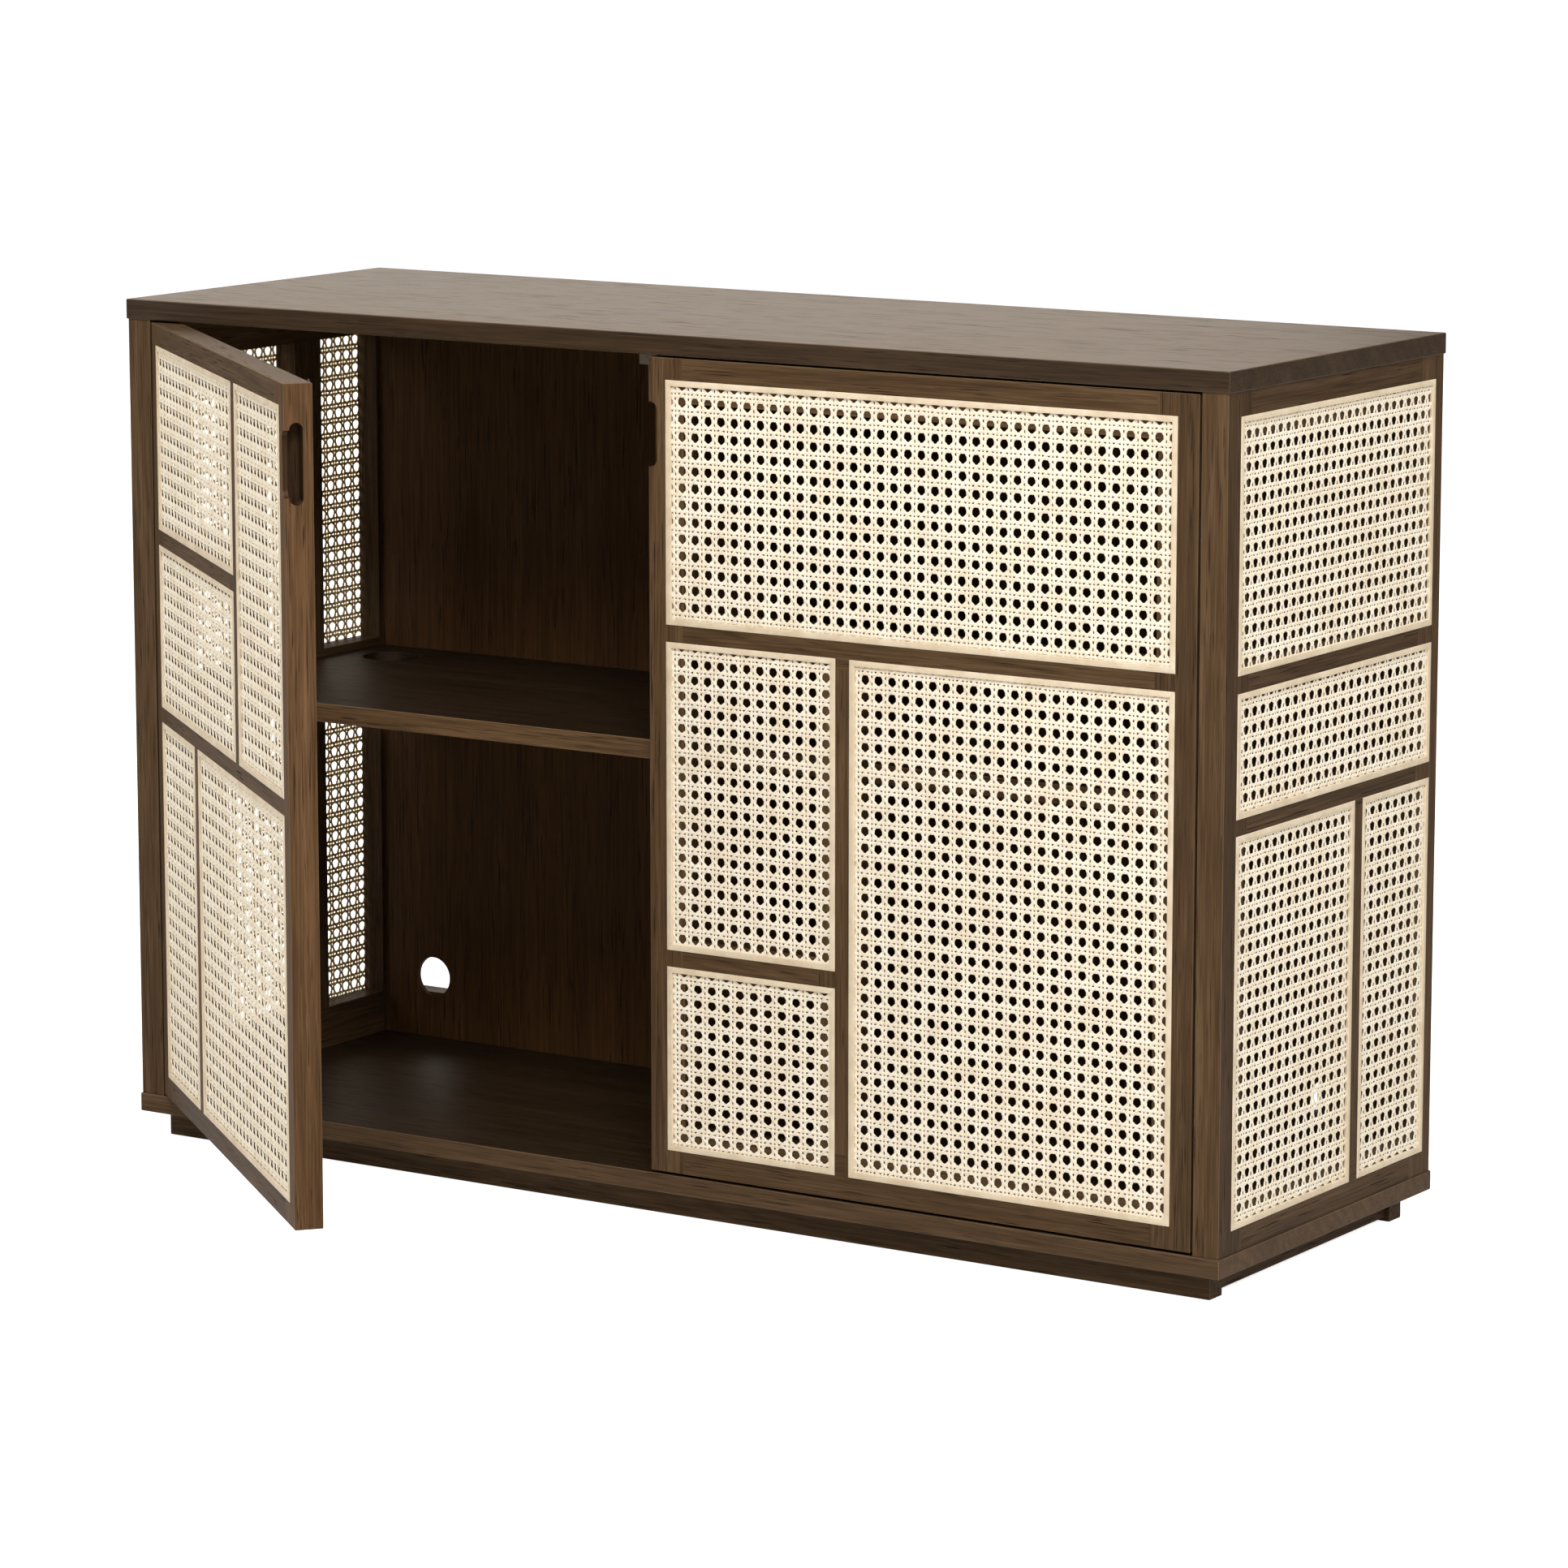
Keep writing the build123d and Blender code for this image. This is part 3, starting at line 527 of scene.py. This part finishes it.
def fibre_group():
    """Fine fibre lines along X, mottling and specks of cane and reed."""
    group, given, result = new_group(
        "Cane fibre",
        [("Position", "NodeSocketVector", None), ("Stretch", "NodeSocketVector", (1, 1, 1))],
        [("Mottle", "NodeSocketFloat"), ("Fibre", "NodeSocketFloat"), ("Speck", "NodeSocketFloat")])
    place_in = given.outputs["Position"]
    stretched = vector_maths(group, "MULTIPLY", place_in, given.outputs["Stretch"])
    group.links.new(noise(group, place_in, *CANE_MOTTLE), result.inputs["Mottle"])
    group.links.new(noise(group, stretched, *CANE_FIBRE), result.inputs["Fibre"])
    speck = ranged(group, noise(group, place_in, *CANE_SPECK), *SPECK_LEVELS)
    group.links.new(speck, result.inputs["Speck"])
    return group


def satin_group():
    """Fine brushing and handling marks of satin metal."""
    group, given, result = new_group(
        "Satin metal",
        [("Position", "NodeSocketVector", None)],
        [("Brush", "NodeSocketFloat"), ("Smudge", "NodeSocketFloat")])
    place_in = given.outputs["Position"]
    brush = noise(group, place_in, *METAL_BRUSH)
    group.links.new(brush, result.inputs["Brush"])
    group.links.new(noise(group, place_in, *METAL_SMUDGE), result.inputs["Smudge"])
    return group


OAK_GRAIN = oak_grain_group()
FIBRE = fibre_group()
SATIN = satin_group()


def new_material(name):
    material = bpy.data.materials.new(name)
    material.use_nodes = True
    tree = material.node_tree
    shader = tree.nodes["Principled BSDF"]
    return material, tree, shader


def ramp(tree, value, stops):
    made = node(tree, "ShaderNodeValToRGB", {0: value})
    points = made.color_ramp.elements
    while len(points) < len(stops):
        points.new(0.5)
    for point, (place_at, colour) in zip(points, stops):
        point.position = place_at
        point.color = (*colour, 1)
    return made.outputs["Color"]


MIX_FACTOR, MIX_A, MIX_B, MIX_RESULT = 0, 6, 7, 2  # the colour sockets of the mix node


def mix(tree, factor, a, b):
    """Mixes two colours by a socket; each is a socket or red, green and blue."""
    made = node(tree, "ShaderNodeMix", data_type="RGBA")
    tree.links.new(factor, made.inputs[MIX_FACTOR])
    for index, colour in ((MIX_A, a), (MIX_B, b)):
        if isinstance(colour, bpy.types.NodeSocket):
            tree.links.new(colour, made.inputs[index])
        else:
            made.inputs[index].default_value = (*colour, 1)
    return made.outputs[MIX_RESULT]


def set_bump(tree, shader, height, strength, distance):
    links = {"Height": height, "Strength": strength, "Distance": distance}
    made = node(tree, "ShaderNodeBump", links)
    tree.links.new(made.outputs["Normal"], shader.inputs["Normal"])


def set_roughness(tree, shader, value, swing, lowest):
    gloss = maths(tree, "MULTIPLY_ADD", value, swing, lowest)
    tree.links.new(gloss, shader.inputs["Roughness"])


ALONG = {
    "X": (0, 0, 0),
    "Y": (0, 0, math.radians(-90)),
    "Z": (0, math.radians(90), 0),
    "DOOR": (0, 0, DOOR_TURN),
}
OAK_DARK = (0.041, 0.0225, 0.0098)
OAK_MIDDLE = (0.082, 0.0460, 0.0208)
OAK_PALE = (0.126, 0.0745, 0.0365)
PORE_DARK = (0.011, 0.0060, 0.0032)
ARRIS_PALE = (0.200, 0.135, 0.080)
TONE_SPREAD = 0.12  # how far the dark and the pale tones lie from the middle of the grain
SEED_STEP = Vector((0.37, 0.91, 0.53))  # moves each member to another place in the grain
PORE_COVER = 0.85
ARRIS_COVER = 0.50
OAK_SWING = 0.16  # how much the roughness changes with the tone
PORE_ROUGH = 0.25
OAK_BUMP = (0.35, 0.00022)
OAK_IOR = 1.42
FACE_LEVELS = (0.6, 0.9)  # the part of the normal from which a face counts as across an axis
PULL_LEVELS = (1.0, 1.02)  # the pull's box ends at 1


def scaled(colour, by):
    """The colour times one number, or times one number for each of red, green and blue."""
    if isinstance(by, tuple):
        return tuple(part * share for part, share in zip(colour, by))
    return tuple(part * by for part in colour)


# Painted shade and light: faces across the axis get one tone and the others another, by which way
# they turn to the light.
def painted_face_shade(tree, at, by_face):
    axis, tone_on, tone_off = by_face
    part = node(tree, "ShaderNodeSeparateXYZ", {0: at.outputs["Normal"]}).outputs[axis]
    return ranged(tree, maths(tree, "ABSOLUTE", part), *FACE_LEVELS, tone_off, tone_on)


# Painted shade: a shelf is much darker behind its front edge, where the case shades it.
def painted_shelf_shade(tree, at, front_edge):
    depth = node(tree, "ShaderNodeSeparateXYZ", {0: at.outputs["Object"]}).outputs["Y"]
    return ranged(tree, depth, front_edge, front_edge + EDGE_BAND, 1.0, SHELF_PAINTED_SHADE)


# Painted shade: the inside of a door's finger pull is darkened.
def painted_pull_shade(tree, at, side, edge):
    flat_on = PLANES[side].inverted()
    links = {"Vector": at.outputs["Object"], "Rotation": flat_on.to_euler(),
             "Location": flat_on.translation}
    local = node(tree, "ShaderNodeMapping", links).outputs[0]
    inward = 1 if edge < PULL_DEEP else -1
    centre = (edge + inward * PULL_DEEP / 2, PULL_HIGH, -PULL_BACK / 2)
    half = (PULL_DEEP / 2 - PULL_SKIN, PULL_TALL / 2, PULL_BACK / 2 - PULL_SKIN)
    local = vector_maths(tree, "DIVIDE", vector_maths(tree, "SUBTRACT", local, centre), half)
    return ranged(tree, largest_part(tree, local), *PULL_LEVELS, PULL_PAINTED_SHADE, 1.0)


def oak(name, along, seed, tone, figure, figure_size, rough, shine, contrast, by_face,
        front_edge, pull):
    """Stained oak with its grain along a direction, placed so that no two members look alike.

    by_face is (axis, tone of the faces across that axis, tone of the others): painted shade and
    light.
    front_edge is the place across the depth behind which a board is painted much darker as shade.
    pull is (side, place of the free edge) of a door stile, whose finger pull is painted dark inside
    as shade."""
    material, tree, shader = new_material(name)
    at = node(tree, "ShaderNodeTexCoord")
    links = {"Vector": at.outputs["Object"], "Rotation": ALONG[along], "Location": SEED_STEP * seed}
    turned = node(tree, "ShaderNodeMapping", links)
    normal = at.outputs["Normal"]
    if along == "Z" and name.startswith("oak_left_door"):
        links = {"Vector": normal, "Rotation": (0, 0, DOOR_TURN)}
        normal = node(tree, "ShaderNodeMapping", links, vector_type="VECTOR").outputs[0]
    links = {"Vector": normal, "Rotation": ALONG[along]}
    facing = node(tree, "ShaderNodeMapping", links, vector_type="VECTOR")
    grain = node(tree, "ShaderNodeGroup", node_tree=OAK_GRAIN)
    tree.links.new(turned.outputs[0], grain.inputs["Position"])
    tree.links.new(facing.outputs[0], grain.inputs["Facing"])
    grain.inputs["Figure"].default_value = figure
    grain.inputs["Figure Size"].default_value = figure_size
    spread = TONE_SPREAD / contrast
    stops = [(0.5 - spread, scaled(OAK_DARK, tone)), (0.5, scaled(OAK_MIDDLE, tone)),
             (0.5 + spread, scaled(OAK_PALE, tone))]
    colour = ramp(tree, grain.outputs["Tone"], stops)
    pored = maths(tree, "MULTIPLY", grain.outputs["Pores"], PORE_COVER)
    colour = mix(tree, pored, colour, PORE_DARK)
    # The rounded arrises are made paler.
    paler_arrises = maths(tree, "MULTIPLY", grain.outputs["Arris"], ARRIS_COVER)
    colour = mix(tree, paler_arrises, colour, scaled(ARRIS_PALE, tone))
    # The level below scales the colour with painted shade and light.
    level = None
    if by_face:
        level = painted_face_shade(tree, at, by_face)
    if front_edge is not None:
        level = painted_shelf_shade(tree, at, front_edge)
    if pull:
        level = painted_pull_shade(tree, at, *pull)
    if level is not None:
        colour = vector_maths(tree, "SCALE", colour, level)
    tree.links.new(colour, shader.inputs["Base Color"])
    lowest = maths(tree, "MULTIPLY_ADD", grain.outputs["Pores"], PORE_ROUGH, rough - OAK_SWING / 2)
    set_roughness(tree, shader, grain.outputs["Tone"], OAK_SWING, lowest)
    set_bump(tree, shader, grain.outputs["Relief"], *OAK_BUMP)
    shader.inputs["IOR"].default_value = OAK_IOR
    shader.inputs["Specular IOR Level"].default_value = shine
    return material


MOTTLE_STOPS = (0.30, 0.50, 0.70)
CANE_STRETCH = (0.6, 0.6, 0.35)
CANE_DARKER = (0.94, 0.90, 0.85)
CANE_PALER = (1.04, 1.07, 1.12)
LINE_COVER, LINE_TONE = 0.30, 0.84
SPECK_COVER, SPECK_TONE = 0.45, 0.55
CANE_ROUGH = (0.2, 0.52)
CANE_BUMP = (0.25, 0.0001)
CANE_SHINE = 0.30
GLOW_RADIUS = (1.0, 0.72, 0.45)
GLOW_DEEP = 2.5 * MM


def cane_material(name, skin, glow):
    """Woven cane, its outer skin or its back, whose darker, browner colour is painted shade; glow
    is how much light it lets through.
    """
    material, tree, shader = new_material(name)
    at = node(tree, "ShaderNodeTexCoord").outputs["Object"]
    links = {"Position": at, "Stretch": CANE_STRETCH}
    fibre = node(tree, "ShaderNodeGroup", links, node_tree=FIBRE)
    darker = scaled(skin, CANE_DARKER)
    shades = (darker, skin, scaled(skin, CANE_PALER))
    colour = ramp(tree, fibre.outputs["Mottle"], list(zip(MOTTLE_STOPS, shades)))
    lined = maths(tree, "MULTIPLY", fibre.outputs["Fibre"], LINE_COVER)
    colour = mix(tree, lined, colour, scaled(darker, LINE_TONE))
    specked = maths(tree, "MULTIPLY", fibre.outputs["Speck"], SPECK_COVER)
    colour = mix(tree, specked, colour, scaled(darker, SPECK_TONE))
    tree.links.new(colour, shader.inputs["Base Color"])
    set_roughness(tree, shader, fibre.outputs["Mottle"], *CANE_ROUGH)
    shader.inputs["Specular IOR Level"].default_value = CANE_SHINE
    shader.inputs["Subsurface Weight"].default_value = glow
    shader.inputs["Subsurface Radius"].default_value = GLOW_RADIUS
    shader.inputs["Subsurface Scale"].default_value = GLOW_DEEP
    set_bump(tree, shader, fibre.outputs["Fibre"], *CANE_BUMP)
    return material


REED_SHADES = ((0.58, 0.46, 0.31), (0.67, 0.55, 0.39), (0.74, 0.63, 0.47))
REED_LINE = (0.48, 0.36, 0.22)
REED_COVER = 0.40
REED_STRETCH = (0.05, 1.4, 1.4)
REED_ROUGH = (0.2, 0.42)
REED_BUMP = (0.3, 0.0001)


def spline_material(name, turn):
    material, tree, shader = new_material(name)
    at = node(tree, "ShaderNodeTexCoord").outputs["Object"]
    turned = node(tree, "ShaderNodeMapping", {"Vector": at, "Rotation": turn}).outputs[0]
    links = {"Position": turned, "Stretch": REED_STRETCH}
    fibre = node(tree, "ShaderNodeGroup", links, node_tree=FIBRE)
    colour = ramp(tree, fibre.outputs["Mottle"], list(zip(MOTTLE_STOPS, REED_SHADES)))
    lined = maths(tree, "MULTIPLY", fibre.outputs["Fibre"], REED_COVER)
    colour = mix(tree, lined, colour, REED_LINE)
    tree.links.new(colour, shader.inputs["Base Color"])
    set_roughness(tree, shader, fibre.outputs["Fibre"], *REED_ROUGH)
    set_bump(tree, shader, fibre.outputs["Fibre"], *REED_BUMP)
    return material


METAL_SHADES = (0.86, 1.10)
METAL_SWING = 0.14
METAL_BUMP = (0.15, 0.00005)


def metal_material(name, colour, rough):
    material, tree, shader = new_material(name)
    at = node(tree, "ShaderNodeTexCoord").outputs["Object"]
    satin = node(tree, "ShaderNodeGroup", {"Position": at}, node_tree=SATIN)
    dark, pale = (scaled(colour, share) for share in METAL_SHADES)
    shade = mix(tree, satin.outputs["Smudge"], dark, pale)
    tree.links.new(shade, shader.inputs["Base Color"])
    shader.inputs["Metallic"].default_value = 1.0
    set_roughness(tree, shader, satin.outputs["Smudge"], METAL_SWING, rough - METAL_SWING / 2)
    set_bump(tree, shader, satin.outputs["Brush"], *METAL_BUMP)
    return material


# ---------------------------------------------------------------- materials on the CAD nodes
# The members whose grain doesn't run up.
ACROSS_DOOR = ("left_door_bottom_rail", "left_door_middle_rail", "left_door_short_rail",
               "left_door_top_rail")
ACROSS_X = ("right_door_bottom_rail", "right_door_cross_rail", "right_door_short_rail",
            "right_door_top_rail", "back_plinth", "front_plinth", "back_rail", "bottom_board",
            "top_board", "left_shelf", "right_shelf")
ACROSS_Y = ("left_bottom_rail", "left_middle_rail", "left_top_rail", "right_bottom_rail",
            "right_lower_rail", "right_top_rail", "right_upper_rail", "left_plinth", "right_plinth")
TONES = (0.93, 0.84, 0.99, 0.89, 0.96, 0.82, 0.91)
# Painted shade: the back panel and the centre partition are darker and warmer, for the shade and
# warm bounce light inside the case.
PAINTED_INSIDE_SHADE = (0.88, 0.72, 0.53)
# Painted light and shade, member by member: the shelves lighter, so that their front edges read as
# lit; the left door's free stile lighter and warmer, as lit on its edge; the left front post
# darker, as the light falls off to the left; the right side's rails darker, most towards the top,
# for the shade of the side and of the top's overhang.
PAINTED_LIGHT_AND_SHADE_TONES = {"back_panel": PAINTED_INSIDE_SHADE, "centre_partition": PAINTED_INSIDE_SHADE,
             "left_shelf": 1.3, "right_shelf": 1.3,
             "left_door_free_stile": (1.12, 1.02, 0.95), "left_front_post": 0.84,
             "right_top_rail": 0.66, "right_upper_rail": 0.66,
             "right_lower_rail": 0.72, "right_bottom_rail": 0.80}
SHELF_PAINTED_SHADE = 0.20  # painted shade: the shelves' tone behind their front edges
EDGE_BAND = 3 * MM
PULL_DEEP, PULL_TALL, PULL_BACK = 15 * MM, 73 * MM, 18 * MM
PULL_SKIN = 0.5 * MM
PULL_HIGH = 726 * MM
# Painted shade inside the finger pulls.
PULL_PAINTED_SHADE = 0.36
DOOR_WIDE = -DOOR_GAP - DOOR_PIVOT.x - PIVOT_ASIDE
PULLS = {"right_door_free_stile": ("right_door", 0.0),
         "left_door_free_stile": ("left_door", DOOR_WIDE)}
# Painted shade and light by which way a face turns: the bottom board's upper and lower faces
# darker, in the case's shade; the top board's edges darker; the right front post's side darker and
# its front lighter.
PAINTED_SHADE_AND_LIGHT_BY_FACE = {"bottom_board": ("Z", 0.34, 1.0), "top_board": ("Z", 1.0, 0.50),
                 "right_front_post": ("X", 0.72, 1.10)}
BOARDS = ("top_board", "bottom_board", "left_shelf", "right_shelf", "back_panel",
          "centre_partition")
FAINT = ("back_panel", "centre_partition")  # boards with little difference between light and dark
HINGE_METAL = metal_material("satin_hinge_metal", (0.46, 0.45, 0.43), 0.34)
SCREW_STEEL = metal_material("screw_steel", (0.52, 0.51, 0.50), 0.28)
FITTING_METAL = metal_material("satin_fitting_metal", (0.24, 0.22, 0.19), 0.42)
METALS = {"hinge_metal": HINGE_METAL, "screw_steel": SCREW_STEEL, "fittings_metal": FITTING_METAL}
slots = {part["node"]: part["material_slot"] for part in record["subparts"]}


def grain_direction(name):
    if name in ACROSS_DOOR:
        return "DOOR"
    if name in ACROSS_X:
        return "X"
    if name in ACROSS_Y:
        return "Y"
    return "Z"


def paint(name, material):
    mesh = nodes[name].data
    mesh.materials.clear()
    mesh.materials.append(material)


def oak_for(name, seed):
    # Some members' tones carry painted light or painted shade.
    tone = PAINTED_LIGHT_AND_SHADE_TONES.get(name, TONES[seed % len(TONES)])
    top, board = name == "top_board", name in BOARDS
    looks = {"figure": 0.45 if board else 0.40,
             "figure_size": 0.50 if board else 1.0,
             "rough": 0.41 if top else 0.48,
             "shine": 0.22 if top else 0.14 if board else 0.09,
             "contrast": 0.6 if name in FAINT else 0.85,
             "by_face": PAINTED_SHADE_AND_LIGHT_BY_FACE.get(name),
             "front_edge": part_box(name)[0].y if name.endswith("_shelf") else None,
             "pull": PULLS.get(name)}
    return oak(f"oak_{name}", grain_direction(name), seed + 1, tone, **looks)


for seed, name in enumerate(sorted(nodes)):
    kind = slots[name]
    if kind in METALS:
        paint(name, METALS[kind])
    elif kind in ("stained_oak", "oak_veneer"):
        paint(name, oak_for(name, seed))

CANE_SKIN = (0.81, 0.715, 0.56)
# Painted shade: the back of the cane, turned into the case, is darker and browner than the skin.
CANE_SHADE_BACK_COLOUR = (0.66, 0.48, 0.28)
BACK_GLOW = 0.85
CANE = cane_material("woven_cane", CANE_SKIN, 0.0)
CANE_SHADED_BACK = cane_material("woven_cane_shaded_back", CANE_SHADE_BACK_COLOUR, BACK_GLOW)
SPLINE = {}
for side in PANELS:
    flat = {"right_door": "X", "left_door": "DOOR"}.get(side, "Y")
    SPLINE[side, True] = spline_material(f"reed_across_{side}", ALONG[flat])
    SPLINE[side, False] = spline_material(f"reed_upright_{side}", ALONG["Z"])

cell = master_cell()
for side, panels in PANELS.items():
    for name, (outline, pitch, first) in panels.items():
        weave(cell, side, name, outline, pitch, first)
    splines(side)
remove(cell)

# ---------------------------------------------------------------- stage, lights and camera
STAGE_SIDE = 160.0
FLOOR_DROP = 0.5 * MM  # keeps the floor clear of the plinth's foot
FLOOR_GLOW = 0.87  # seen by the camera only
SKY_GLOW = 0.20
SKY_SEEN = 0.80  # added where the camera sees the sky
LIGHTS = (
    # name, place, width and height, power, colour
    ("key_light", (1.9, -3.0, 4.2), (2.2, 2.0), 250, (1, 1, 1)),
    ("left_light", (-3.6, -2.2, 2.7), (1.8, 2.2), 95, (1, 1, 1)),
    ("side_light", (4.2, -0.6, 3.3), (2.2, 1.3), 102, (1, 1, 1)),
    ("back_light", (-4.3, 5.4, 1.9), (4.1, 3.0), 71, (1.0, 0.90, 0.78)),
)
CAMERA_AT = (3.0991, -4.5401, 1.3644)
CAMERA_DOWN = math.radians(9.944)
CAMERA_TURN = math.radians(33.198)
CAMERA_LENS = 140.0
CAMERA_CLIP = (0.1, 200)

deselect_all()
bpy.ops.mesh.primitive_plane_add(size=STAGE_SIDE, location=(0, 0, -FLOOR_DROP))
floor = bpy.context.object
floor.name = "floor"
pale, tree, shader = new_material("pale_floor")
shader.inputs["Base Color"].default_value = (0.80, 0.80, 0.80, 1)
shader.inputs["Roughness"].default_value = 0.9
shader.inputs["Specular IOR Level"].default_value = 0.1
shader.inputs["Emission Color"].default_value = (1, 1, 1, 1)
sight = node(tree, "ShaderNodeLightPath").outputs["Is Camera Ray"]
tree.links.new(maths(tree, "MULTIPLY", sight, FLOOR_GLOW), shader.inputs["Emission Strength"])
floor.data.materials.append(pale)


def softbox(name, place_at, target, size, power, colour):
    data = bpy.data.lights.new(name, "AREA")
    data.shape = "RECTANGLE"
    data.size, data.size_y = size
    data.energy = power
    data.color = colour
    lamp = bpy.data.objects.new(name, data)
    bpy.context.scene.collection.objects.link(lamp)
    lamp.location = place_at
    aim = Vector(target) - Vector(place_at)
    lamp.rotation_euler = aim.to_track_quat("-Z", "Y").to_euler()
    lamp.visible_camera = False


middle = (cad_low + cad_high) / 2
for name, place_at, size, power, colour in LIGHTS:
    softbox(name, place_at, middle, size, power, colour)
world = bpy.data.worlds.new("studio")
bpy.context.scene.world = world
world.use_nodes = True
sky = world.node_tree.nodes["Background"]
sky.inputs["Color"].default_value = (1, 1, 1, 1)
sight = node(world.node_tree, "ShaderNodeLightPath").outputs["Is Camera Ray"]
sky_level = maths(world.node_tree, "MULTIPLY_ADD", sight, SKY_SEEN, SKY_GLOW)
world.node_tree.links.new(sky_level, sky.inputs["Strength"])
bpy.context.scene.view_settings.view_transform = "Standard"

lens = bpy.data.cameras.new("camera")
lens.sensor_width = 36
lens.lens = CAMERA_LENS
lens.clip_start, lens.clip_end = CAMERA_CLIP
camera = bpy.data.objects.new("camera", lens)
bpy.context.scene.collection.objects.link(camera)
camera.location = CAMERA_AT
camera.rotation_euler = (math.radians(90) - CAMERA_DOWN, 0, CAMERA_TURN)
bpy.context.scene.camera = camera
